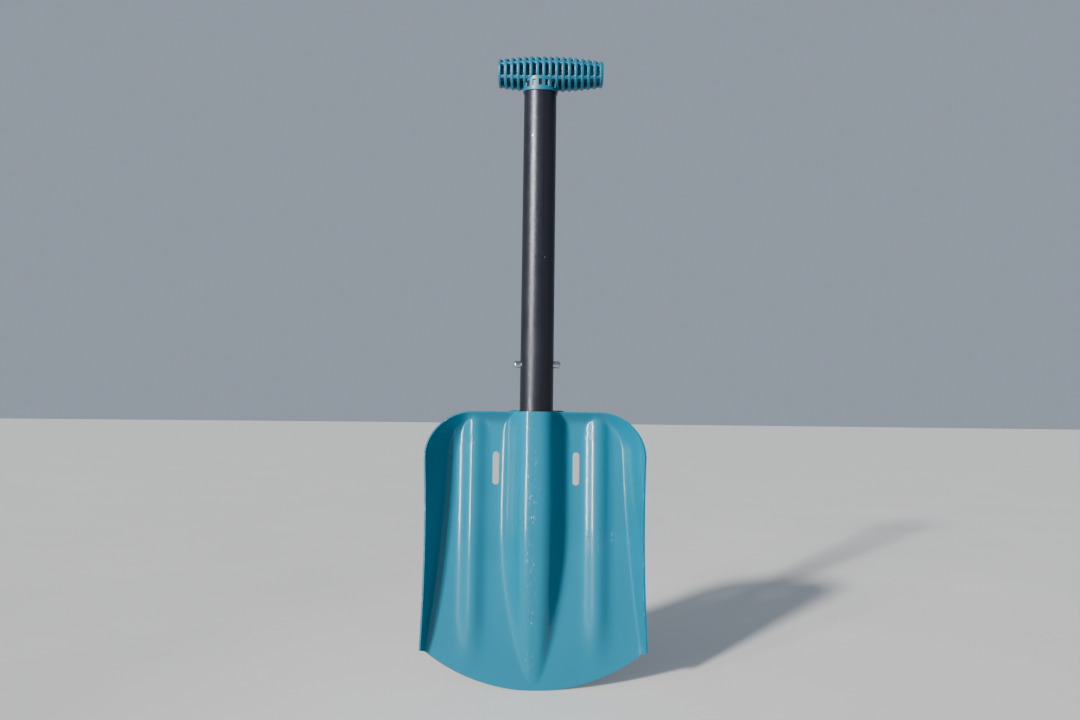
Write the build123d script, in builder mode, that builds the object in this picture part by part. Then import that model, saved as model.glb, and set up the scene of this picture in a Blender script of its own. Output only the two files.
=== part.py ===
from build123d import *
from math import atan2, cos, exp, hypot, pi, sin, sqrt
import os

# Avalanche shovel with a pressed aluminium blade, a telescoping oval shaft and a moulded T-grip.
# +Z runs up the shaft, the open side of the scoop faces -Y and +X is to the right of a person
# looking into the scoop. Z is 0 at the tip of the cutting edge. Lengths are millimetres.
# The shaft is in its short position.

# ---- driving dimensions ----
blade_length = 284.0
corner_radius = 46.0
corner_z = blade_length - corner_radius
waist_half_width = 111.0
waist_z = 178.0
side_arc_radius = 1790.0
side_foot_z = 41.5
rib_x = 64.5
sheet = 2.0

shaft_y = 3.7
floor_y = shaft_y + 8.2

upper_wide = 35.0
upper_deep = 31.0
upper_wall = 1.5
shaft_gap = 0.6
lower_wide = upper_wide - 2 * (upper_wall + shaft_gap)
lower_deep = upper_deep - 2 * (upper_wall + shaft_gap)
lower_wall = 1.8
telescope_travel = 150.0

lower_bottom_z = 126.0
lower_top_z = 354.0
button_z = 333.0
upper_bottom_z = 168.0
upper_top_z = 638.0

button_dia = 8.0
button_hole_dia = 8.6
button_tip_x = 24.6

grip_z = 650.3
grip_left_x = -45.4
grip_right_x = 67.7
grip_peak_x = 6.0
grip_peak_radius = 18.2
grip_arc_radius = 375.0

slot_x = 42.0
slot_z = 224.7
slot_length = 34.5
slot_width = 6.8


# ---- blade surface ----
def ease(t):
    """Smooth step from 0 to 1, flat outside that span."""
    t = min(max(t, 0.0), 1.0)
    return t * t * (3 - 2 * t)


def half_width(z):
    """Half width of the blade between its corners: a long waisted arc."""
    return waist_half_width + (z - waist_z) ** 2 / (2 * side_arc_radius)


corner_x = half_width(corner_z) - corner_radius


def rim_distance(u, z):
    """Distance inwards from the rim, and how far round towards the top it is (0 side, 1 top)."""
    du = u - corner_x
    dz = z - corner_z
    if du > 0 and dz > 0:
        return corner_radius - hypot(du, dz), ease(atan2(dz, du) / (pi / 2))
    if dz > 0:
        return blade_length - z, 1.0
    return half_width(z) - u, 0.0


def wall_height(u, z):
    """Raised wall: a slope that starts at its foot and rounds softly into the floor."""
    along = min(max((z - 40.0) / 198.0, 0.02), 1.0)
    side_rise = 8.0 + 26.0 * along**0.6
    side_foot = 4.0 + 14.0 * along
    distance, turn = rim_distance(u, z)
    distance = max(distance, -4.0)
    rise = side_rise + (11.0 - side_rise) * turn
    foot = side_foot + (10.0 - side_foot) * turn
    slope_line = rise * (foot - distance) / foot
    rounding = 5.0
    return (slope_line + sqrt(slope_line**2 + rounding**2)) / 2


def bulge_height(u, z):
    """Central bulge that makes room for the shaft and runs out at the tip."""
    crest = 27.0 * sin(pi / 2 * min(max((z - 5.0) / 165.0, 0.0), 1.0)) ** 1.2
    base = 33.0 * sin(pi / 2 * min(max((z - 2.0) / 173.0, 0.001), 1.0)) ** 0.6
    base -= ease((z - 175.0) / 110.0)
    return crest * exp(-((u / (0.72 * base)) ** 3.2))


def rib_height(u, z):
    """Shallow stiffening rib on each side of the bulge."""
    return 6.0 * ease((z - 15.0) / 70.0) * exp(-(((u - rib_x) / 10.0) ** 2))


def scoop_height(x, z):
    """Height of the pressed sheet above the blade's floor."""
    u = abs(x)
    heights = (wall_height(u, z), bulge_height(u, z), rib_height(u, z))
    return sum(h**4 for h in heights) ** 0.25


def section_positions(z):
    """X of the points that describe one cross-section, closer together on the walls and flanks."""
    reach = max(z - corner_z, 0.0)
    edge = half_width(z)
    if reach > 0:
        edge = corner_x + sqrt(max(corner_radius**2 - reach**2, 18.0**2))
    outer = [edge + 5 - step for step in (0, 3, 6, 9, 13, 18, 24, 31)]
    inner_scale = (edge - 31.0) / 82.0
    inner = [x * inner_scale for x in (75, 70, 65, 60, 54, 45, 37, 31, 26, 21, 15, 8)]
    right = outer + inner
    return [-x for x in right] + [0.0] + right[::-1]


def front_and_back(z):
    """Points of the sheet's two faces in the cross-section at height z."""
    front = []
    back = []
    for x in section_positions(z):
        height = scoop_height(x, z)
        slope = scoop_height(x + 0.5, z) - scoop_height(x - 0.5, z)
        length = hypot(1, slope)
        front.append((x, floor_y - height))
        back.append((x + slope * sheet / length, floor_y - height + sheet / length))
    return front, back


section_heights = (-4, 12, 30, 48, 70, 95, 125, 160, 195, 220, 236, 246, 254, 262, 270, 277, 284, 290)

with BuildPart() as blade:
    for height_z in section_heights:
        front_points, back_points = front_and_back(height_z)
        with BuildSketch(Plane.XY.offset(height_z)):
            with BuildLine():
                front_line = Spline(front_points)
                back_line = Spline(back_points)
                Line(front_line @ 0, back_line @ 0)
                Line(front_line @ 1, back_line @ 1)
            make_face()
    loft()
    # trimmed outline: waisted sides, round top corners and an arched cutting edge
    with BuildSketch(Plane.XZ):
        with BuildLine() as outline:
            side_foot_x = half_width(side_foot_z)
            corner_foot_x = corner_x + corner_radius
            corner_mid = corner_radius * cos(pi / 4)
            ThreePointArc((side_foot_x, side_foot_z), (waist_half_width, waist_z), (corner_foot_x, corner_z))
            ThreePointArc(
                (corner_foot_x, corner_z),
                (corner_x + corner_mid, corner_z + corner_mid),
                (corner_x, blade_length),
            )
            Line((corner_x, blade_length), (0, blade_length))
            mirror(about=Plane.YZ)
            ThreePointArc((-side_foot_x, side_foot_z), (0, 0), (side_foot_x, side_foot_z))
        make_face()
    extrude(amount=60, both=True, mode=Mode.INTERSECT)
    # two slots for tying the blade down as an anchor or a sled
    with BuildSketch(Plane.XZ):
        with Locations((-slot_x, slot_z), (slot_x, slot_z)):
            SlotOverall(slot_length, slot_width, rotation=90)
    extrude(amount=60, both=True, mode=Mode.SUBTRACT)
blade.part.label = "blade"


# ---- socket behind the blade ----
socket_wall = 1.8
guard_wide = 36.0
guard_deep = 32.0
channel_gap = 0.7
channel_wide = guard_wide + 2 * channel_gap
channel_deep = guard_deep + 2 * channel_gap
saddle_gap = 0.1
saddle_wide = lower_wide + 2 * saddle_gap
saddle_deep = lower_deep + 2 * saddle_gap
socket_top_z = blade_length + 1.5
socket_bottom_z = 122.0
saddle_top_z = 146.0
step_top_z = 157.0
flange_half = 37.0
flange_front_y = floor_y + sheet + 0.1
flange_back_y = flange_front_y + socket_wall


def channel_stack(grow, bottom_z, top_z):
    """Oval channel: snug on the lower shaft at its foot, wide enough for the upper shaft above."""
    with BuildPart() as stack:
        with BuildSketch(Plane.XY.offset(bottom_z)):
            with Locations((0, shaft_y)):
                Ellipse(saddle_wide / 2 + grow, saddle_deep / 2 + grow)
        extrude(amount=saddle_top_z - bottom_z)
        with BuildSketch(Plane.XY.offset(saddle_top_z)):
            with Locations((0, shaft_y)):
                Ellipse(saddle_wide / 2 + grow, saddle_deep / 2 + grow)
        with BuildSketch(Plane.XY.offset(step_top_z)):
            with Locations((0, shaft_y)):
                Ellipse(channel_wide / 2 + grow, channel_deep / 2 + grow)
        loft()
        with BuildSketch(Plane.XY.offset(step_top_z)):
            with Locations((0, shaft_y)):
                Ellipse(channel_wide / 2 + grow, channel_deep / 2 + grow)
        extrude(amount=top_z - step_top_z)
    return stack.part


rivet_zs = (131.5, 141.0)
rivet_shank_dia = 4.8
rivet_head_dia = 9.0
rivet_head_height = 1.5
rivet_grip = 9.0

channel_outer = channel_stack(socket_wall, socket_bottom_z, socket_top_z)
channel_inner = channel_stack(0.0, socket_bottom_z - 1, socket_top_z + 1)

with BuildPart() as socket_back:
    # flat flanges with rounded corners
    with BuildSketch(Plane.XZ.offset(-flange_front_y)):
        with Locations((0, (socket_bottom_z + socket_top_z) / 2)):
            RectangleRounded(2 * flange_half, socket_top_z - socket_bottom_z, 13)
    extrude(amount=-socket_wall)
    # formed channel round the back of the shaft
    add(channel_outer)
    add(channel_inner, mode=Mode.SUBTRACT)
    # everything in front of the flanges is the blade's side
    with BuildSketch(Plane.XZ.offset(-flange_front_y)):
        Rectangle(200, 1000)
    extrude(amount=100, mode=Mode.SUBTRACT)
    with BuildSketch(Plane.XZ.offset(-flange_back_y)):
        with Locations(*[(0, z) for z in rivet_zs]):
            Circle(rivet_shank_dia / 2)
    extrude(amount=-20, mode=Mode.SUBTRACT)
socket_back.part.label = "socket_back"

weld_spans = ((150.0, 178.0), (186.0, 204.0), (246.0, 268.0))
weld_leg = 1.7
weld_front_y = flange_front_y + 0.05

with BuildPart() as socket_welds:
    # stitch welds along both edges of the flange
    for start_z, end_z in weld_spans:
        with BuildSketch(Plane.XY.offset(start_z)):
            with BuildLine():
                corner = (flange_half, weld_front_y)
                toe = (flange_half + weld_leg, weld_front_y)
                top = (flange_half, flange_back_y - 0.2)
                Line(corner, top)
                Line(corner, toe)
                RadiusArc(top, toe, 3)
            make_face()
        extrude(amount=end_z - start_z)
    mirror(about=Plane.YZ)
socket_welds.part.label = "socket_welds"


# ---- lower shaft and what it carries ----
def oval(wide, deep):
    """Oval profile centred on the shaft's axis."""
    with Locations((0, shaft_y)):
        Ellipse(wide / 2, deep / 2)


def oval_bore(wide, deep):
    """The same profile, taken away from the sketch around it."""
    with Locations((0, shaft_y)):
        Ellipse(wide / 2, deep / 2, mode=Mode.SUBTRACT)


lower_bore_wide = lower_wide - 2 * lower_wall
lower_bore_deep = lower_deep - 2 * lower_wall
side_plane = Plane.YZ

with BuildPart() as lower_shaft:
    with BuildSketch(Plane.XY.offset(lower_bottom_z)):
        oval(lower_wide, lower_deep)
        oval_bore(lower_bore_wide, lower_bore_deep)
    extrude(amount=lower_top_z - lower_bottom_z)
    with BuildSketch(side_plane):
        with Locations((shaft_y, button_z)):
            Circle(button_hole_dia / 2)
    extrude(amount=40, both=True, mode=Mode.SUBTRACT)
    with BuildSketch(Plane.XZ.offset(-shaft_y)):
        with Locations(*[(0, z) for z in rivet_zs]):
            Circle(rivet_shank_dia / 2)
    extrude(amount=-40, mode=Mode.SUBTRACT)
lower_shaft.part.label = "lower_shaft"

saddle_back_y = shaft_y + saddle_deep / 2 + socket_wall
anchor_top_z = 150.0

with BuildPart() as anchor_plug:
    # moulded block in the foot of the lower shaft, cored out at its centre line
    with BuildSketch(Plane.XY.offset(lower_bottom_z)):
        oval(lower_bore_wide, lower_bore_deep)
    extrude(amount=anchor_top_z - lower_bottom_z)
    with BuildSketch(Plane.XY.offset(anchor_top_z)):
        with Locations((-7.5, shaft_y), (7.5, shaft_y)):
            Circle(3.2)
    extrude(amount=-18, mode=Mode.SUBTRACT)
    with BuildSketch(Plane.XZ.offset(-(saddle_back_y - rivet_grip))):
        with Locations(*[(0, z) for z in rivet_zs]):
            Circle(rivet_shank_dia / 2)
    extrude(amount=-30, mode=Mode.SUBTRACT)
anchor_plug.part.label = "anchor_plug"

with BuildPart() as anchor_rivets:
    # domed blind rivets set from the back
    for rivet_z in rivet_zs:
        with BuildSketch(Plane.XZ.offset(-(saddle_back_y - rivet_grip))):
            with Locations((0, rivet_z)):
                Circle(rivet_shank_dia / 2)
        extrude(amount=-rivet_grip)
        with BuildSketch(Plane.XZ.offset(-saddle_back_y)):
            with Locations((0, rivet_z)):
                Circle(rivet_head_dia / 2)
        extrude(amount=-rivet_head_height)
    rims = anchor_rivets.faces().filter_by(Axis.Y).group_by(Axis.Y)[-1].edges()
    fillet(rims, radius=1.2)
anchor_rivets.part.label = "anchor_rivets"

cap_flange = 5.0
cap_spigot = 10.0
glide_gap = 0.3
cap_wall = 1.6

with BuildPart() as glide_cap:
    # collar that keeps the two tubes apart, with a spigot into the lower shaft
    with BuildSketch(Plane.XY.offset(lower_top_z)):
        oval(lower_wide + 2 * (shaft_gap - glide_gap), lower_deep + 2 * (shaft_gap - glide_gap))
    extrude(amount=cap_flange)
    with BuildSketch(Plane.XY.offset(lower_top_z)):
        oval(lower_bore_wide, lower_bore_deep)
    extrude(amount=-cap_spigot)
    with BuildSketch(Plane.XY.offset(lower_top_z - cap_spigot)):
        oval(lower_bore_wide - 2 * cap_wall, lower_bore_deep - 2 * cap_wall)
    extrude(amount=cap_spigot + cap_flange, mode=Mode.SUBTRACT)
    chamfer(glide_cap.edges().group_by(Axis.Z)[-1], length=0.6)
glide_cap.part.label = "glide_cap"

# ---- snap buttons and their spring ----
flange_outer_x = 11.0
button_flange = 0.9
button_flange_dia = 10.4
button_inner_x = flange_outer_x - button_flange
dome_radius = 2.8
leaf = 0.6
leaf_width = 7.0
leaf_foot_z = 304.0
leaf_top_z = 340.0
leaf_bend = 4.0

with BuildPart() as button_spring:
    # a strip bent into a U that leans open against both buttons
    with BuildSketch(Plane.XZ.offset(-(shaft_y + leaf_width / 2))):
        with BuildLine():
            arm_x = button_inner_x - leaf / 2 - 0.05
            left_arm = Line((-arm_x, leaf_top_z), (-arm_x, button_z - 6))
            left_lean = Line(left_arm @ 1, (-leaf_bend, leaf_foot_z))
            bend = ThreePointArc(left_lean @ 1, (0, leaf_foot_z - leaf_bend), (leaf_bend, leaf_foot_z))
            right_lean = Line(bend @ 1, (arm_x, button_z - 6))
            Line(right_lean @ 1, (arm_x, leaf_top_z))
            offset(amount=leaf / 2, side=Side.BOTH)
        make_face()
    extrude(amount=leaf_width)
button_spring.part.label = "button_spring"


def snap_button(side):
    """Domed steel button with a foot that stays inside the lower shaft."""
    with BuildPart() as button:
        with BuildSketch(Plane.YZ.offset(side * button_inner_x)):
            with Locations((shaft_y, button_z)):
                Circle(button_flange_dia / 2)
        extrude(amount=side * button_flange)
        with BuildSketch(Plane.YZ.offset(side * flange_outer_x)):
            with Locations((shaft_y, button_z)):
                Circle(button_dia / 2)
        extrude(amount=side * (button_tip_x - flange_outer_x))
        tip = button.faces().sort_by(Axis.X)[-1 if side > 0 else 0]
        fillet(tip.edges(), radius=dome_radius)
    return button.part


button_left = snap_button(-1)
button_left.label = "button_left"
button_right = snap_button(1)
button_right.label = "button_right"

# ---- upper shaft ----
bore_wide = upper_wide - 2 * upper_wall
bore_deep = upper_deep - 2 * upper_wall

grip_screw_zs = (612.0, 600.0)
screw_shank_dia = 3.9
screw_head_dia = 7.6
screw_head_height = 2.2
screw_length = 12.0

with BuildPart() as upper_shaft:
    with BuildSketch(Plane.XY.offset(upper_bottom_z)):
        oval(upper_wide, upper_deep)
        oval_bore(bore_wide, bore_deep)
    extrude(amount=upper_top_z - upper_bottom_z)
    # two pairs of lock holes: short position and long position
    with BuildSketch(side_plane):
        with Locations((shaft_y, button_z), (shaft_y, button_z - telescope_travel)):
            Circle(button_hole_dia / 2)
    extrude(amount=40, both=True, mode=Mode.SUBTRACT)
    with BuildSketch(Plane.XZ.offset(-shaft_y)):
        with Locations(*[(0, z) for z in grip_screw_zs]):
            Circle(screw_shank_dia / 2)
    extrude(amount=-40, mode=Mode.SUBTRACT)
upper_shaft.part.label = "upper_shaft"

guard_height = 8.0
guard_lip = 7.0
guard_bore_wide = lower_wide + 2 * glide_gap
guard_bore_deep = lower_deep + 2 * glide_gap

with BuildPart() as shaft_end_guard:
    # ring on the foot of the upper shaft, with a thin lip inside it
    with BuildSketch(Plane.XY.offset(upper_bottom_z)):
        oval(guard_wide, guard_deep)
    extrude(amount=-guard_height)
    with BuildSketch(Plane.XY.offset(upper_bottom_z)):
        oval(bore_wide, bore_deep)
    extrude(amount=guard_lip)
    with BuildSketch(Plane.XY.offset(upper_bottom_z - guard_height)):
        oval(guard_bore_wide, guard_bore_deep)
    extrude(amount=guard_height + guard_lip, mode=Mode.SUBTRACT)
    chamfer(shaft_end_guard.edges().group_by(Axis.Z)[0].sort_by(SortBy.LENGTH)[-1], length=1.0)
shaft_end_guard.part.label = "shaft_end_guard"

# ---- T-grip ----
pocket_count = 16
pocket_rows = 6
pocket_pitch = 6.867
pocket_width = 3.7
first_pocket_x = grip_left_x + 4.7
row_tilt = 24.0
rib_width = 3.6
core_radius = 9.5
collar_wall = 1.3
collar_bottom_z = 625.6
collar_top_z = 641.1
collar_arch_radius = 47.0
window_columns = (4, 5, 6, 7, 8)
window_bottom_z = 630.7
window_top_z = 637.5
spigot_bottom_z = 594.0
spigot_wall = 3.2


grip_axis = Axis((0, shaft_y, grip_z), (1, 0, 0))


def barrel(shrink):
    """Solid barrel along X whose side is one long arc."""

    def radius_at(x):
        drop = grip_arc_radius - sqrt(grip_arc_radius**2 - (x - grip_peak_x) ** 2)
        return grip_peak_radius - shrink - drop

    with BuildPart() as solid:
        with BuildSketch(Plane.XZ.offset(-shaft_y)):
            with BuildLine():
                Line((grip_left_x, grip_z), (grip_left_x, grip_z + radius_at(grip_left_x)))
                ThreePointArc(
                    (grip_left_x, grip_z + radius_at(grip_left_x)),
                    (grip_peak_x, grip_z + grip_peak_radius - shrink),
                    (grip_right_x, grip_z + radius_at(grip_right_x)),
                )
                Line((grip_right_x, grip_z + radius_at(grip_right_x)), (grip_right_x, grip_z))
                Line((grip_right_x, grip_z), (grip_left_x, grip_z))
            make_face()
        revolve(axis=grip_axis)
    return solid.part


with BuildPart() as grip_ribs:
    # the lengthwise ribs: plates through the barrel's axis, trimmed to its outline
    for row in range(pocket_rows // 2):
        rib_plane = Plane(origin=(0, shaft_y, grip_z), z_dir=(1, 0, 0)).rotated((row * 60.0 + row_tilt, 0, 0))
        with BuildSketch(rib_plane.offset(grip_left_x)):
            Rectangle(2 * grip_peak_radius, rib_width)
        extrude(amount=grip_right_x - grip_left_x)
    add(barrel(0.5), mode=Mode.INTERSECT)

with BuildPart() as collar:
    # oval sleeve whose lower edge dips in front and behind
    with BuildSketch(Plane.XY.offset(collar_bottom_z)):
        oval(upper_wide + 2 * collar_wall, upper_deep + 2 * collar_wall)
    extrude(amount=collar_top_z - collar_bottom_z)
    with BuildSketch(Plane.XZ.offset(-shaft_y)):
        with Locations((0, collar_bottom_z + collar_arch_radius)):
            Circle(collar_arch_radius)
    extrude(amount=40, both=True, mode=Mode.INTERSECT)
    # short windows in front, in line with the barrel's pockets
    window_z = (window_bottom_z + window_top_z) / 2
    with BuildSketch(Plane.XZ.offset(-shaft_y)):
        with Locations(*[(first_pocket_x + n * pocket_pitch, window_z) for n in window_columns]):
            Rectangle(pocket_width, window_top_z - window_bottom_z)
    extrude(amount=40, mode=Mode.SUBTRACT)

with BuildPart() as grip:
    add(barrel(0.0))
    # grooves between the rings
    for pocket in range(pocket_count):
        pocket_x = first_pocket_x + pocket * pocket_pitch
        with BuildSketch(Plane.XZ.offset(-shaft_y)):
            with Locations((pocket_x, grip_z + core_radius + 10)):
                Rectangle(pocket_width, 20)
        revolve(axis=grip_axis, mode=Mode.SUBTRACT)
    add(grip_ribs.part)
    # collar round the top of the shaft, and the spigot inside it
    add(collar.part)
    with BuildSketch(Plane.XY.offset(spigot_bottom_z)):
        oval(upper_wide, upper_deep)
    extrude(amount=upper_top_z - spigot_bottom_z, mode=Mode.SUBTRACT)
    with BuildSketch(Plane.XY.offset(spigot_bottom_z)):
        oval(bore_wide, bore_deep)
        oval_bore(bore_wide - 2 * spigot_wall, bore_deep - 2 * spigot_wall)
    extrude(amount=upper_top_z - spigot_bottom_z)
    with BuildSketch(Plane.XZ.offset(-shaft_y)):
        with Locations(*[(0, z) for z in grip_screw_zs]):
            Circle(screw_shank_dia / 2)
    extrude(amount=-40, mode=Mode.SUBTRACT)
grip.part.label = "grip"

shaft_back_y = shaft_y + upper_deep / 2

with BuildPart() as grip_screws:
    # pan-head screws from the back, through the shaft into the spigot
    for screw_z in grip_screw_zs:
        with BuildSketch(Plane.XZ.offset(-(shaft_back_y - 5.0))):
            with Locations((0, screw_z)):
                Circle(screw_shank_dia / 2)
        extrude(amount=-5.0)
        with BuildSketch(Plane.XZ.offset(-shaft_back_y)):
            with Locations((0, screw_z)):
                Circle(screw_head_dia / 2)
        extrude(amount=-screw_head_height)
    head_rims = grip_screws.faces().filter_by(Axis.Y).group_by(Axis.Y)[-1].edges()
    fillet(head_rims, radius=0.9)
    with BuildSketch(Plane.XZ.offset(-(shaft_back_y + screw_head_height))):
        with Locations(*[(0, z) for z in grip_screw_zs]):
            RegularPolygon(1.7, 6)
    extrude(amount=1.3, mode=Mode.SUBTRACT)
grip_screws.part.label = "grip_screws"

# ---- write one STEP per piece ----
pieces = [
    blade.part,
    socket_back.part,
    socket_welds.part,
    lower_shaft.part,
    anchor_plug.part,
    anchor_rivets.part,
    glide_cap.part,
    button_spring.part,
    button_left,
    button_right,
    upper_shaft.part,
    shaft_end_guard.part,
    grip.part,
    grip_screws.part,
]
os.makedirs("parts", exist_ok=True)
for piece in pieces:
    export_step(piece, "parts/" + piece.label + ".step")
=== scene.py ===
from math import atan2, cos, exp, hypot, pi, radians, sin, sqrt

import bmesh
import bpy
from mathutils import Matrix, Vector


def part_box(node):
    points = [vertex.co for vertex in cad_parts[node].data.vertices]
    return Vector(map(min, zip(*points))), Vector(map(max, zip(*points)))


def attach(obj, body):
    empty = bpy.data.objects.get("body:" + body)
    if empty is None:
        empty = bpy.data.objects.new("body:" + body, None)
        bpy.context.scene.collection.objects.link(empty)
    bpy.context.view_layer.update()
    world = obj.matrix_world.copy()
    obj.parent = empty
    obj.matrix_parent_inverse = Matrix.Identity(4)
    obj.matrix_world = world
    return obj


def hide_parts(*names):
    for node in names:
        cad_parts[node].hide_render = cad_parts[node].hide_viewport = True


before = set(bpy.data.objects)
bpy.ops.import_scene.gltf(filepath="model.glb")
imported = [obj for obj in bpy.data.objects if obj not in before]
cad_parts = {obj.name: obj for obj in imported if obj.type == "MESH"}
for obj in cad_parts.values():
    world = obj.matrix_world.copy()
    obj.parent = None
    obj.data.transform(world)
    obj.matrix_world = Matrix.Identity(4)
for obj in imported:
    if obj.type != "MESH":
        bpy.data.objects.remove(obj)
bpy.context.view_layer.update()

# Shapes are worked out in millimetres and turned into metres where a mesh is made.
MM = 0.001
BLADE = "blade_assembly"
SHAFT = "upper_shaft_assembly"


# ---------------------------------------------------------------- frame values
def node_box(name):
    low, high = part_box(name)
    return [c / MM for c in low], [c / MM for c in high]


shaft_low, shaft_high = node_box("upper_shaft")
grip_low, grip_high = node_box("grip")

shaft_y = (shaft_low[1] + shaft_high[1]) / 2
shaft_half_wide = (shaft_high[0] - shaft_low[0]) / 2
shaft_half_deep = (shaft_high[1] - shaft_low[1]) / 2
blade_length = node_box("blade")[1][2]


# ---------------------------------------------------------------- camera
def make_camera():
    """A wide lens close to the object, which leans back a little and is rolled slightly."""
    height_over_blade = 27.8
    aim = Vector((0.0, shaft_y, blade_length + height_over_blade)) * MM
    lens_mm = 23.3333
    sensor_mm = 36.0
    shift = -0.014352
    distance = 0.733
    lean = radians(5.0)
    roll = radians(0.6)
    # where the aim point sits off the lens's axis, per unit of distance
    across = -0.026857
    above = -0.035714
    forward = Vector((0.0, cos(lean), sin(lean)))
    level_right = Vector((1.0, 0.0, 0.0))
    level_up = level_right.cross(forward)
    right = cos(roll) * level_right + sin(roll) * level_up
    up = -sin(roll) * level_right + cos(roll) * level_up
    ray = forward + across * right + above * up
    data = bpy.data.cameras.new("camera")
    data.sensor_width = sensor_mm
    data.lens = lens_mm
    data.shift_x = shift
    data.clip_start = 0.01
    data.clip_end = 100.0
    camera = bpy.data.objects.new("camera", data)
    camera.matrix_world = Matrix((
        (right.x, up.x, -forward.x, 0.0),
        (right.y, up.y, -forward.y, 0.0),
        (right.z, up.z, -forward.z, 0.0),
        (0.0, 0.0, 0.0, 1.0),
    ))
    camera.location = aim - distance * ray
    bpy.context.scene.collection.objects.link(camera)
    bpy.context.scene.camera = camera


make_camera()


# ---------------------------------------------------------------- materials
class Shader:
    """A material's node tree with short calls for the nodes that every finish here needs."""

    def __init__(self, name, roughness, metallic=0.0, coat=0.0, coat_roughness=0.05, specular=0.5):
        self.material = bpy.data.materials.new(name)
        self.material.use_nodes = True
        self.tree = self.material.node_tree
        self.surface = self.tree.nodes["Principled BSDF"]
        self.surface.inputs["Roughness"].default_value = roughness
        self.surface.inputs["Metallic"].default_value = metallic
        self.surface.inputs["Coat Weight"].default_value = coat
        self.surface.inputs["Coat Roughness"].default_value = coat_roughness
        self.surface.inputs["Specular IOR Level"].default_value = specular
        self.place = self.tree.nodes.new("ShaderNodeTexCoord").outputs["Object"]

    def node(self, kind, settings=(), **inputs):
        made = self.tree.nodes.new(kind)
        for key, value in dict(settings).items():
            setattr(made, key, value)
        for key, value in inputs.items():
            socket = made.inputs[key.replace("_", " ")]
            self.feed(socket, value)
        return made

    def feed(self, socket, value):
        if isinstance(value, bpy.types.NodeSocket):
            self.tree.links.new(value, socket)
        else:
            socket.default_value = value

    def scaled(self, x, y, z):
        mapping = self.node("ShaderNodeMapping", Vector=self.place)
        mapping.inputs["Scale"].default_value = (x, y, z)
        return mapping.outputs["Vector"]

    def noise(self, scale, detail=4.0, rough=0.55, stretch=(1, 1, 1)):
        vector = self.scaled(*stretch) if stretch != (1, 1, 1) else self.place
        made = self.node("ShaderNodeTexNoise", Vector=vector, Scale=scale, Detail=detail, Roughness=rough)
        return made.outputs["Fac"]

    def remap(self, value, low, high, new_low=0.0, new_high=1.0):
        made = self.node("ShaderNodeMapRange", Value=value)
        for key, number in (("From Min", low), ("From Max", high), ("To Min", new_low), ("To Max", new_high)):
            made.inputs[key].default_value = number
        return made.outputs["Result"]

    def maths(self, operation, a, b=0.0):
        made = self.node("ShaderNodeMath", {"operation": operation})
        self.feed(made.inputs[0], a)
        self.feed(made.inputs[1], b)
        return made.outputs["Value"]

    def mix(self, fac, a, b):
        made = self.node("ShaderNodeMix", {"data_type": "RGBA"})
        self.feed(made.inputs[0], fac)
        self.feed(made.inputs[6], a)
        self.feed(made.inputs[7], b)
        return made.outputs[2]

    def axis(self, index):
        split = self.node("ShaderNodeSeparateXYZ", Vector=self.place)
        return split.outputs[index]

    def edges(self, low, high):
        """1 on convex edges, where a finish wears first."""
        geometry = self.node("ShaderNodeNewGeometry")
        return self.remap(geometry.outputs["Pointiness"], low, high)

    def bump(self, height, strength, distance):
        made = self.node("ShaderNodeBump", Height=height, Strength=strength, Distance=distance)
        chain = self.surface.inputs["Normal"]
        if chain.is_linked:
            self.tree.links.new(chain.links[0].from_socket, made.inputs["Normal"])
        self.tree.links.new(made.outputs["Normal"], chain)

    def colour(self, value):
        self.feed(self.surface.inputs["Base Color"], value)

    def roughness(self, value):
        self.feed(self.surface.inputs["Roughness"], value)


def scuffs(shader, centre_x, spread_x, amount):
    """Short thin scratches in a band along the shaft's line, brightest near its middle."""
    side = shader.maths("ABSOLUTE", shader.maths("SUBTRACT", shader.axis(0), centre_x))
    band = shader.remap(side, spread_x, 0.0)
    streaks = shader.noise(420.0, 5.0, 0.65, (1.6, 1.0, 0.45))
    thin = shader.remap(streaks, 0.60, 0.70)
    patches = shader.remap(shader.noise(26.0, 2.0), 0.44, 0.56)
    scratches = shader.maths("MULTIPLY", thin, patches)
    return shader.maths("MULTIPLY", scratches, shader.maths("MULTIPLY", band, amount))


def toned(colour, factor, lift=0.0):
    return tuple(min(c * factor + lift, 1.0) for c in colour[:3]) + (1,)


def blade_paint():
    shader = Shader("blade_paint", 0.2, coat=0.2, coat_roughness=0.06, specular=0.28)
    deep_tone = (0.0, 0.104, 0.170, 1)
    light_tone = (0.0, 0.114, 0.184, 1)
    scratch_tone = (0.62, 0.80, 0.86, 1)
    edge_tone = (0.25, 0.42, 0.48, 1)
    tone = shader.mix(shader.remap(shader.noise(9.0, 3.0), 0.35, 0.65), deep_tone, light_tone)
    crest = scuffs(shader, -0.0035, 0.007, 0.5)
    hairline = shader.noise(46.0, 1.0, 0.4, (6.0, 1.0, 0.55))
    hairline = shader.remap(shader.maths("ABSOLUTE", shader.maths("SUBTRACT", hairline, 0.5)), 0.0016, 0.0)
    sparse = shader.remap(shader.noise(17.0, 2.0), 0.60, 0.66)
    hairline = shader.maths("MULTIPLY", shader.maths("MULTIPLY", hairline, sparse), 0.6)
    marks = shader.maths("MAXIMUM", crest, hairline)
    patchy = shader.remap(shader.noise(90.0), 0.56, 0.70, 0.0, 0.5)
    worn = shader.maths("MULTIPLY", shader.edges(0.62, 0.80), patchy)
    painted = shader.mix(marks, tone, scratch_tone)
    shader.colour(shader.mix(worn, painted, edge_tone))
    gloss = shader.remap(shader.noise(30.0, 5.0), 0.3, 0.7, 0.15, 0.22)
    shader.roughness(shader.maths("ADD", gloss, shader.maths("MULTIPLY", marks, 0.3)))
    shader.bump(shader.noise(900.0, 2.0), 0.03, 0.0003)
    shader.bump(shader.maths("MULTIPLY", marks, -1.0), 0.15, 0.0001)
    return shader.material


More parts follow.
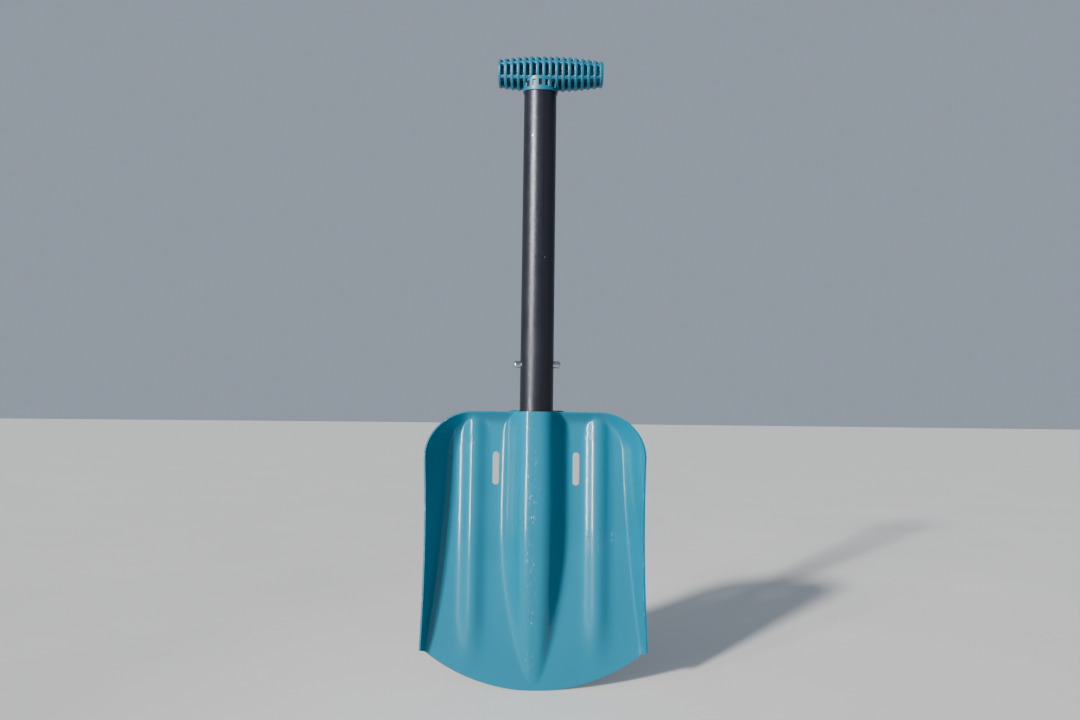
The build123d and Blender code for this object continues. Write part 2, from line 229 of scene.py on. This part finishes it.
def anodised(name, base, gloss_low, gloss_high):
    shader = Shader(name, 0.34, metallic=0.55)
    drawn = shader.noise(260.0, 3.0, 0.6, (1.0, 1.0, 0.02))
    tone = shader.mix(shader.remap(drawn, 0.3, 0.7), base, toned(base, 1.5))
    chips = shader.remap(shader.noise(340.0, 2.0), 0.745, 0.765)
    chips = shader.maths("MULTIPLY", chips, shader.remap(shader.noise(28.0, 1.0), 0.52, 0.60))
    aluminium = (0.55, 0.56, 0.58, 1)
    shader.colour(shader.mix(chips, tone, aluminium))
    shader.roughness(shader.remap(shader.noise(45.0, 4.0), 0.3, 0.7, gloss_low, gloss_high))
    shader.bump(drawn, 0.05, 0.0002)
    return shader.material


def moulded(name, base, accent, rough_low, rough_high):
    shader = Shader(name, rough_low, specular=0.45)
    tone = shader.mix(shader.remap(shader.noise(38.0, 4.0), 0.3, 0.7), base, accent)
    worn = shader.maths("MULTIPLY", shader.edges(0.54, 0.62), 0.35)
    shader.colour(shader.mix(worn, tone, toned(base, 1.6, 0.03)))
    shader.roughness(shader.remap(shader.noise(70.0, 4.0), 0.3, 0.7, rough_low, rough_high))
    shader.bump(shader.noise(1100.0, 3.0), 0.25, 0.0002)
    return shader.material


def bare_metal(name, base, rough_low, rough_high, stretch):
    shader = Shader(name, rough_low, metallic=1.0)
    turned = shader.noise(420.0, 4.0, 0.6, stretch)
    dull = shader.remap(shader.noise(160.0, 3.0), 0.35, 0.7)
    shader.colour(shader.mix(dull, base, toned(base, 0.72)))
    shader.roughness(shader.remap(turned, 0.3, 0.7, rough_low, rough_high))
    shader.bump(turned, 0.08, 0.0002)
    return shader.material


paint = blade_paint()
shaft_black = anodised("shaft_black", (0.010, 0.011, 0.016, 1), 0.31, 0.41)
lower_black = anodised("lower_shaft_black", (0.022, 0.023, 0.026, 1), 0.30, 0.42)
grip_plastic = moulded("grip_plastic", (0.0, 0.075, 0.135, 1), (0.0, 0.088, 0.15, 1), 0.36, 0.48)
glide_plastic = moulded("glide_plastic", (0.016, 0.016, 0.018, 1), (0.024, 0.024, 0.026, 1), 0.42, 0.55)
anchor_plastic = moulded("anchor_plastic", (0.03, 0.03, 0.032, 1), (0.04, 0.04, 0.043, 1), 0.5, 0.62)
button_steel = bare_metal("button_steel", (0.42, 0.44, 0.47, 1), 0.14, 0.24, (0.05, 1.0, 1.0))
spring_steel = bare_metal("spring_steel", (0.36, 0.37, 0.40, 1), 0.28, 0.40, (1.0, 0.05, 1.0))
rivet_metal = bare_metal("rivet_metal", (0.62, 0.63, 0.65, 1), 0.25, 0.38, (1.0, 1.0, 1.0))
screw_steel = bare_metal("screw_steel", (0.50, 0.50, 0.52, 1), 0.25, 0.36, (1.0, 0.2, 1.0))


def finish_node(name, material):
    """Gives a CAD piece its final material."""
    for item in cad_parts[name].material_slots:
        item.material = material


for node_name, node_material in (
    ("upper_shaft", shaft_black),
    ("button_left", button_steel),
    ("button_right", button_steel),
    ("socket_back", paint),
    ("socket_welds", paint),
    ("lower_shaft", lower_black),
    ("anchor_plug", anchor_plastic),
    ("anchor_rivets", rivet_metal),
    ("glide_cap", glide_plastic),
    ("button_spring", spring_steel),
    ("shaft_end_guard", glide_plastic),
    ("grip_screws", screw_steel),
):
    finish_node(node_name, node_material)


# ---------------------------------------------------------------- mesh helpers
def make_piece(name, vertices, faces, material, body, replaced):
    """A smooth-shaded object from millimetre vertices that rides on a body and replaces a node."""
    mesh = bpy.data.meshes.new(name)
    mesh.from_pydata([[c * MM for c in v] for v in vertices], [], faces)
    mesh.validate()
    mesh.shade_smooth()
    mesh.set_sharp_from_angle(angle=radians(38.0))
    piece = bpy.data.objects.new(name, mesh)
    mesh.materials.append(material)
    bpy.context.scene.collection.objects.link(piece)
    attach(piece, body)
    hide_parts(replaced)
    return piece


def ring_faces(rings, count, start=0, closed=False):
    """Quads between rings whose vertices run ring by ring; closed joins the last ring to the first."""
    faces = []
    for r in range(rings if closed else rings - 1):
        here = start + r * count
        following = start + (r + 1) % rings * count
        for c in range(count):
            d = (c + 1) % count
            faces.append((here + c, here + d, following + d, following + c))
    return faces


def resample(points, count):
    """The same open line with evenly spaced points, both ends kept."""
    lengths = [0.0]
    for a, b in zip(points, points[1:]):
        lengths.append(lengths[-1] + hypot(b[0] - a[0], b[1] - a[1]))
    spaced = []
    at = 0
    for n in range(count):
        goal = lengths[-1] * n / (count - 1)
        while at < len(points) - 2 and lengths[at + 1] < goal:
            at += 1
        share = (goal - lengths[at]) / (lengths[at + 1] - lengths[at])
        share = min(max(share, 0.0), 1.0)
        a, b = points[at], points[at + 1]
        spaced.append((a[0] + (b[0] - a[0]) * share, a[1] + (b[1] - a[1]) * share))
    return spaced


# ---------------------------------------------------------------- blade
corner_radius = 46.0
corner_z = blade_length - corner_radius
waist_half_width = 111.0
waist_z = 178.0
side_arc_radius = 1790.0
side_foot_z = 41.5
rib_x = 64.5
sheet = 2.0
floor_y = shaft_y + 8.2
slot_x = 42.0
slot_z = 224.7
slot_length = 34.5
slot_width = 6.8


def ease(t):
    t = min(max(t, 0.0), 1.0)
    return t * t * (3 - 2 * t)


def half_width(z):
    return waist_half_width + (z - waist_z) ** 2 / (2 * side_arc_radius)


corner_x = half_width(corner_z) - corner_radius


def rim_distance(u, z):
    """Distance inwards from the rim, and how far round towards the top it is."""
    du = u - corner_x
    dz = z - corner_z
    if du > 0 and dz > 0:
        return corner_radius - hypot(du, dz), ease(atan2(dz, du) / (pi / 2))
    if dz > 0:
        return blade_length - z, 1.0
    return half_width(z) - u, 0.0


def wall_height(u, z):
    along = min(max((z - 40.0) / 198.0, 0.02), 1.0)
    side_rise = 8.0 + 26.0 * along**0.6
    side_foot = 4.0 + 14.0 * along
    distance, turn = rim_distance(u, z)
    distance = max(distance, -4.0)
    rise = side_rise + (11.0 - side_rise) * turn
    foot = side_foot + (10.0 - side_foot) * turn
    slope_line = rise * (foot - distance) / foot
    rounding = 5.0
    return (slope_line + sqrt(slope_line**2 + rounding**2)) / 2


def bulge_height(u, z):
    crest = 27.0 * sin(pi / 2 * min(max((z - 5.0) / 165.0, 0.0), 1.0)) ** 1.2
    base = 33.0 * sin(pi / 2 * min(max((z - 2.0) / 173.0, 0.001), 1.0)) ** 0.6
    base -= ease((z - 175.0) / 110.0)
    return crest * exp(-((u / (0.72 * base)) ** 3.2))


def rib_height(u, z):
    return 6.0 * ease((z - 15.0) / 70.0) * exp(-(((u - rib_x) / 10.0) ** 2))


def scoop_height(x, z):
    u = abs(x)
    return sum(h**4 for h in (wall_height(u, z), bulge_height(u, z), rib_height(u, z))) ** 0.25


def blade_loop(inset, across, upwards):
    """One closed line round the blade, inset from its rim: bottom, right, top and left sides."""
    edge_radius = (half_width(side_foot_z) ** 2 + side_foot_z**2) / (2 * side_foot_z)
    foot_radius = edge_radius - inset
    foot_z = side_foot_z
    for _ in range(40):
        foot_x = half_width(foot_z) - inset
        foot_z = edge_radius - sqrt(foot_radius**2 - foot_x**2)
    half_angle = atan2(foot_x, edge_radius - foot_z)
    bottom_steps = 80
    side_steps = 120
    corner_steps = 60
    bottom = []
    for n in range(bottom_steps + 1):
        turn = -half_angle + 2 * half_angle * n / bottom_steps
        bottom.append((foot_radius * sin(turn), edge_radius - foot_radius * cos(turn)))
    radius = corner_radius - inset
    right = []
    for n in range(side_steps + 1):
        z = foot_z + (corner_z - foot_z) * n / side_steps
        right.append((half_width(z) - inset, z))
    top = []
    for n in range(1, corner_steps + 1):
        turn = pi / 4 * n / corner_steps
        right.append((corner_x + radius * cos(turn), corner_z + radius * sin(turn)))
        top.append((corner_x + radius * cos(pi / 4 + turn), corner_z + radius * sin(pi / 4 + turn)))
    top.insert(0, right[-1])
    top = top + [(-x, z) for x, z in top[::-1]]
    left = [(-x, z) for x, z in right[::-1]]
    sides = (
        resample(bottom, across + 1),
        resample(right, upwards + 1),
        resample(top, across + 1),
        resample(left, upwards + 1),
    )
    return [p for side in sides for p in side[:-1]], sides


def blade_points():
    """Plan points and faces: strips that follow the rim, then a patch that fills the middle."""
    across = 150
    upwards = 200
    insets = (0.0, 0.7, 1.6, 2.8, 4.0, 5.2, 6.5, 7.8, 9.2, 10.6, 12.0)
    insets += (13.6, 15.4, 17.4, 19.6, 22.0, 25.0, 28.0)
    loops = [blade_loop(inset, across, upwards) for inset in insets]
    count = len(loops[0][0])
    plan = [p for loop, _ in loops for p in loop]
    faces = ring_faces(len(insets), count)
    bottom, right, top, left = loops[-1][1]
    top = top[::-1]
    left = left[::-1]
    start = (len(insets) - 1) * count
    index = {}
    for n in range(across):
        index[n, 0] = start + n
        index[across - n, upwards] = start + across + upwards + n
    for n in range(upwards):
        index[across, n] = start + across + n
        index[0, upwards - n] = start + 2 * across + upwards + n
    for i in range(1, across):
        s = i / across
        for j in range(1, upwards):
            t = j / upwards
            point = []
            for k in (0, 1):
                edge_mix = (1 - t) * bottom[i][k] + t * top[i][k] + (1 - s) * left[j][k] + s * right[j][k]
                corner_mix = (1 - s) * (1 - t) * bottom[0][k] + s * (1 - t) * bottom[-1][k]
                corner_mix += (1 - s) * t * top[0][k] + s * t * top[-1][k]
                point.append(edge_mix - corner_mix)
            index[i, j] = len(plan)
            plan.append(tuple(point))
    for i in range(across):
        for j in range(upwards):
            faces.append((index[i, j], index[i + 1, j], index[i + 1, j + 1], index[i, j + 1]))
    return plan, faces


def cut_with(piece, cutter):
    """Boolean difference, applied, with the cutter removed."""
    modifier = piece.modifiers.new("cut", "BOOLEAN")
    modifier.operation = "DIFFERENCE"
    modifier.solver = "EXACT"
    modifier.object = cutter
    apply_modifiers(piece)
    bpy.data.objects.remove(cutter)


def apply_modifiers(piece):
    graph = bpy.context.evaluated_depsgraph_get()
    made = bpy.data.meshes.new_from_object(piece.evaluated_get(graph))
    piece.modifiers.clear()
    old = piece.data
    piece.data = made
    bpy.data.meshes.remove(old)


def slot_cutter():
    """Two upright prisms with round ends, as one mesh."""
    mesh = bpy.data.meshes.new("slot_cutter")
    shape = bmesh.new()
    steps = 32
    reach = 30.0
    radius = slot_width / 2
    end = slot_length / 2 - radius
    for centre_x in (-slot_x, slot_x):
        outline = []
        for n in range(steps):
            turn = 2 * pi * n / steps
            lift = end if sin(turn) >= 0 else -end
            outline.append((centre_x + radius * cos(turn), slot_z + lift + radius * sin(turn)))
        front = [shape.verts.new((x * MM, (floor_y - reach) * MM, z * MM)) for x, z in outline]
        back = [shape.verts.new((x * MM, (floor_y + reach) * MM, z * MM)) for x, z in outline]
        shape.faces.new(front)
        shape.faces.new(back[::-1])
        for n in range(steps):
            m = (n + 1) % steps
            shape.faces.new((front[m], front[n], back[n], back[m]))
    bmesh.ops.recalc_face_normals(shape, faces=shape.faces)
    shape.to_mesh(mesh)
    shape.free()
    cutter = bpy.data.objects.new("slot_cutter", mesh)
    bpy.context.scene.collection.objects.link(cutter)
    return cutter


def make_blade():
    plan, faces = blade_points()
    vertices = [(x, floor_y + sheet - scoop_height(x, z), z) for x, z in plan]
    piece = make_piece("blade_pressing", vertices, faces, paint, BLADE, "blade")
    solid = piece.modifiers.new("sheet", "SOLIDIFY")
    solid.thickness = sheet * MM
    solid.offset = 1.0
    apply_modifiers(piece)
    cut_with(piece, slot_cutter())
    bevel = piece.modifiers.new("edges", "BEVEL")
    bevel.width = 0.55 * MM
    bevel.segments = 2
    bevel.limit_method = "ANGLE"
    bevel.angle_limit = radians(50)
    piece.modifiers.new("normals", "WEIGHTED_NORMAL").keep_sharp = True
    apply_modifiers(piece)


make_blade()


# ---------------------------------------------------------------- grip
grip_peak_x = 6.0
grip_peak_radius = 18.2
grip_arc_radius = 375.0
grip_axis_z = grip_high[2] - grip_peak_radius
pocket_count = 16
pocket_pitch = 6.867
pocket_half_wide = 1.8
pocket_half_turn = radians(24.0)
first_pocket_x = grip_low[0] + 4.7
first_pocket_turn = radians(-6.5)
core_radius = 9.5
rib_drop = 0.5


def barrel_radius(x):
    return grip_peak_radius - grip_arc_radius + sqrt(grip_arc_radius**2 - (x - grip_peak_x) ** 2)


def step_between(value, start, end):
    return ease((value - start) / (end - start))


def pocket_profile(x, turn):
    """Radius of the ribbed barrel at a place along its axis and an angle round it."""
    outer = barrel_radius(x)
    row = round((turn - first_pocket_turn) / (pi / 3))
    around = abs(turn - first_pocket_turn - row * pi / 3) * outer
    column = min(max(round((x - first_pocket_x) / pocket_pitch), 0), pocket_count - 1)
    along = abs(x - first_pocket_x - column * pocket_pitch)
    half_long = pocket_half_turn * outer
    past_end = max(around - (half_long - pocket_half_wide), 0.0)
    outside = hypot(past_end, along) - pocket_half_wide
    side_gap = along - pocket_half_wide
    rib = step_between(around, half_long - 2.0, half_long - 0.6)
    land = outer - rib_drop * rib * (1 - step_between(side_gap, 0.0, 1.0))
    rounding = 0.45 * (1 - step_between(outside, 0.0, 0.7))
    land -= rounding
    depth = land - core_radius - 0.4
    return land - depth * step_between(-outside, 0.0, 0.45)


def grip_stations():
    """Places along the barrel, close together at pocket walls and at the rounded ends."""
    half = (0.9, 1.35, 1.55, 1.7, 1.85, 2.0, 2.35, 2.9)
    offsets = [-step for step in half] + [0.0] + list(half)
    stations = [grip_low[0] + step for step in (0.0, 0.25, 0.6, 1.1, 1.8)]
    for column in range(pocket_count):
        stations += [first_pocket_x + column * pocket_pitch + offset for offset in offsets]
    stations += [grip_high[0] - step for step in (2.6, 1.8, 1.1, 0.6, 0.25, 0.0)]
    return sorted(set(round(x, 3) for x in stations))


def grip_turns():
    """Angles round the barrel, close together at the pocket ends."""
    shares = (0.0, 0.2, 0.4, 0.56, 0.62, 0.67, 0.71, 0.745, 0.77, 0.79, 0.805, 0.82, 0.85, 0.9, 1.0)
    turns = []
    for row in range(6):
        middle = first_pocket_turn + row * pi / 3
        turns += [middle - share * pi / 6 for share in shares[:0:-1]]
        turns += [middle + share * pi / 6 for share in shares[:-1]]
    return turns


def make_grip():
    end_round = 1.2
    cap_share = 0.5
    stations = grip_stations()
    turns = grip_turns()
    vertices = []
    for x in stations:
        to_end = min(x - grip_low[0], grip_high[0] - x)
        rounding = end_round - sqrt(max(end_round**2 - max(end_round - to_end, 0.0) ** 2, 0.0))
        for turn in turns:
            radius = pocket_profile(x, turn) - rounding
            vertices.append((x, shaft_y - radius * cos(turn), grip_axis_z + radius * sin(turn)))
    faces = ring_faces(len(stations), len(turns))
    for x, first in ((stations[0], 0), (stations[-1], (len(stations) - 1) * len(turns))):
        ring = [first + n for n in range(len(turns))]
        inner = len(vertices)
        for n in ring:
            y = shaft_y + (vertices[n][1] - shaft_y) * cap_share
            z = grip_axis_z + (vertices[n][2] - grip_axis_z) * cap_share
            vertices.append((x, y, z))
        for n in range(len(ring)):
            m = (n + 1) % len(ring)
            quad = (ring[n], ring[m], inner + m, inner + n)
            faces.append(quad if first else quad[::-1])
        cap = [inner + n for n in range(len(ring))]
        faces.append(cap if first else cap[::-1])
    add_collar(vertices, faces)
    add_spigot(vertices, faces)
    make_piece("grip_moulding", vertices, faces, grip_plastic, SHAFT, "grip")


def add_rings(vertices, faces, rings):
    """A band of quads through rings of equal length, joined back to the first ring."""
    faces += ring_faces(len(rings), len(rings[0]), start=len(vertices), closed=True)
    for ring in rings:
        vertices += ring


shaft_wall = 1.5
collar_gap = 0.05
collar_wall = 1.3
collar_foot_z = grip_axis_z - 24.7
collar_top_z = grip_axis_z - 9.2
window_columns = (4, 5, 6, 7, 8)
window_bottom_z = grip_axis_z - 19.6
window_top_z = grip_axis_z - 12.8
window_edge = 0.35
window_sink = 0.5
collar_arch_radius = 47.0


def collar_wall_at(x, y, z):
    """How much of the collar's wall is left: 0 in the windows at its front, 1 elsewhere."""
    if y > shaft_y:
        return 1.0
    middle_z = (window_bottom_z + window_top_z) / 2
    middles = [first_pocket_x + column * pocket_pitch for column in window_columns]
    across = min(abs(x - middle) for middle in middles) - pocket_half_wide
    upwards = abs(z - middle_z) - (window_top_z - window_bottom_z) / 2
    return step_between(max(across, upwards), -window_edge, 0.0)


def add_collar(vertices, faces):
    """Sleeve round the top of the shaft; its lower edge dips in front and behind."""
    edge = 0.35
    steps = 360
    spread = 1.07  # from the shaft's surface out to the face of the collar
    shares = [0.0, 0.03] + [0.08 + 0.88 * n / 44 for n in range(45)] + [1.0]
    rings = []
    for outer in (True, False):
        for share in shares if outer else shares[::-1]:
            ring = []
            for n in range(steps):
                turn = 2 * pi * n / steps
                x = shaft_half_wide * cos(turn)
                foot = collar_foot_z + collar_arch_radius - sqrt(collar_arch_radius**2 - x**2)
                z = foot + (collar_top_z - foot) * share
                wall_left = collar_wall_at(x * spread, shaft_y + shaft_half_deep * sin(turn), z)
                out = collar_gap - window_sink * (1 - wall_left)
                if outer:
                    soft = edge * (1 - step_between(z - foot, 0.0, edge))
                    out += (collar_wall - soft) * wall_left
                x = (shaft_half_wide + out) * cos(turn)
                ring.append((x, shaft_y + (shaft_half_deep + out) * sin(turn), z))
            rings.append(ring)
    add_rings(vertices, faces, rings)


def add_spigot(vertices, faces):
    """The part of the moulding that sits inside the shaft."""
    steps = 64
    face_inset = shaft_wall + collar_gap
    bore_inset = shaft_wall + 3.2
    corners = (
        (face_inset, collar_top_z),
        (face_inset, grip_low[2]),
        (bore_inset, grip_low[2]),
        (bore_inset, collar_top_z),
    )
    rings = []
    for inset, z in corners:
        ring = []
        for n in range(steps):
            turn = 2 * pi * n / steps
            x = (shaft_half_wide - inset) * cos(turn)
            ring.append((x, shaft_y + (shaft_half_deep - inset) * sin(turn), z))
        rings.append(ring)
    add_rings(vertices, faces, rings)


make_grip()


# ---------------------------------------------------------------- floor and light
def make_stage():
    shader = Shader("floor", 0.6)
    pale = (0.62, 0.615, 0.60, 1)
    paler = (0.66, 0.655, 0.64, 1)
    shader.colour(shader.mix(shader.remap(shader.noise(3.0), 0.3, 0.7), pale, paler))
    mesh = bpy.data.meshes.new("floor")
    reach = 80.0
    steps = 96
    corners = []
    for n in range(steps):
        turn = 2 * pi * n / steps
        corners.append((reach * cos(turn), reach * sin(turn), 0))
    mesh.from_pydata(corners, [], [tuple(range(steps))])
    mesh.materials.append(shader.material)
    ground = bpy.data.objects.new("floor", mesh)
    bpy.context.scene.collection.objects.link(ground)
    world = bpy.data.worlds.new("studio")
    world.use_nodes = True
    background = world.node_tree.nodes["Background"]
    background.inputs["Color"].default_value = (0.72, 0.83, 1.0, 1)
    background.inputs["Strength"].default_value = 0.42
    bpy.context.scene.world = world


def add_key_light():
    """A soft distant light from the upper left front, so that the floor is lit evenly."""
    data = bpy.data.lights.new("key", "SUN")
    data.energy = 7.2
    data.angle = radians(5.0)
    data.color = (1.0, 0.965, 0.92)
    light = bpy.data.objects.new("key", data)
    light.rotation_mode = "QUATERNION"
    travel = Vector((0.8, 1.0, -0.53))
    light.rotation_quaternion = travel.to_track_quat("-Z", "Y")
    bpy.context.scene.collection.objects.link(light)


def add_strip_light():
    """A tall narrow light to the left front, which draws the bright lines along the pressed ribs."""
    data = bpy.data.lights.new("strip", "AREA")
    data.shape = "RECTANGLE"
    data.size = 0.035
    data.size_y = 0.86
    data.energy = 2.6
    data.spread = radians(80.0)
    data.color = (1.0, 0.98, 0.95)
    light = bpy.data.objects.new("strip", data)
    aim = Vector((0.0, 0.0, 0.47))
    travel = Vector((0.64, 0.73, 0.0)).normalized()
    distance = 0.75
    light.location = aim - travel * distance
    light.rotation_mode = "QUATERNION"
    light.rotation_quaternion = travel.to_track_quat("-Z", "Y")
    bpy.context.scene.collection.objects.link(light)


make_stage()
add_key_light()
add_strip_light()
